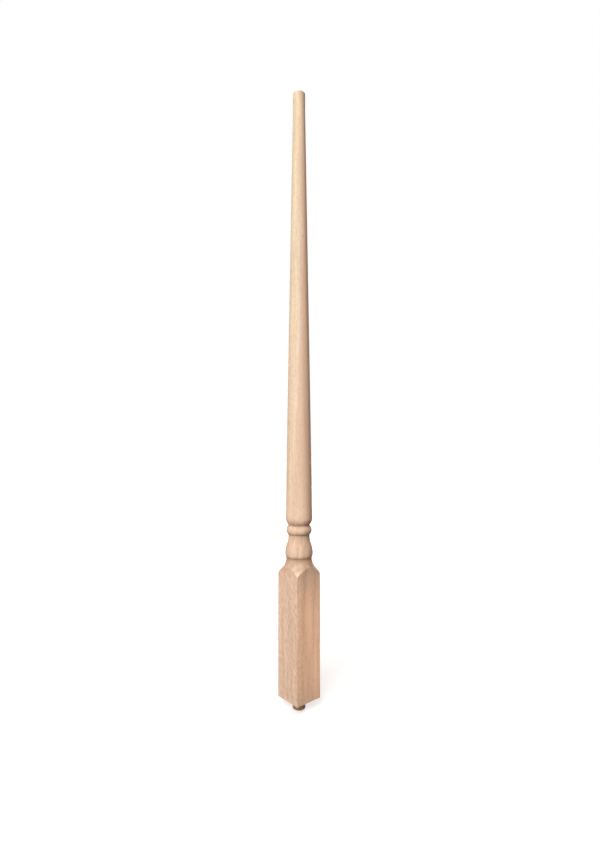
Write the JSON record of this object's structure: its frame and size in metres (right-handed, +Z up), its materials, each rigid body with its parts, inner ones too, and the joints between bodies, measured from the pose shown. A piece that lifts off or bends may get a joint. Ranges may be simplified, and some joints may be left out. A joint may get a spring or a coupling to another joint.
{
  "type": "stair baluster",
  "caption": "Turned wooden stair baluster: square block, ogee shoulder, vase and bead, long tapered shank, and round pins for the tread and the rail.",
  "frame": {"origin": "centre of the block's lower face, where it sits on the tread, at the root of the bottom pin", "axes": "+Z up along the axis of the turning, +X and +Y square to the block's faces"},
  "size_m": [0.0444, 0.0444, 0.9144],
  "materials": {
    "wood": "matte"
  },
  "bodies": {
    "root": {"baluster": "wood"}
  },
  "joints": []
}
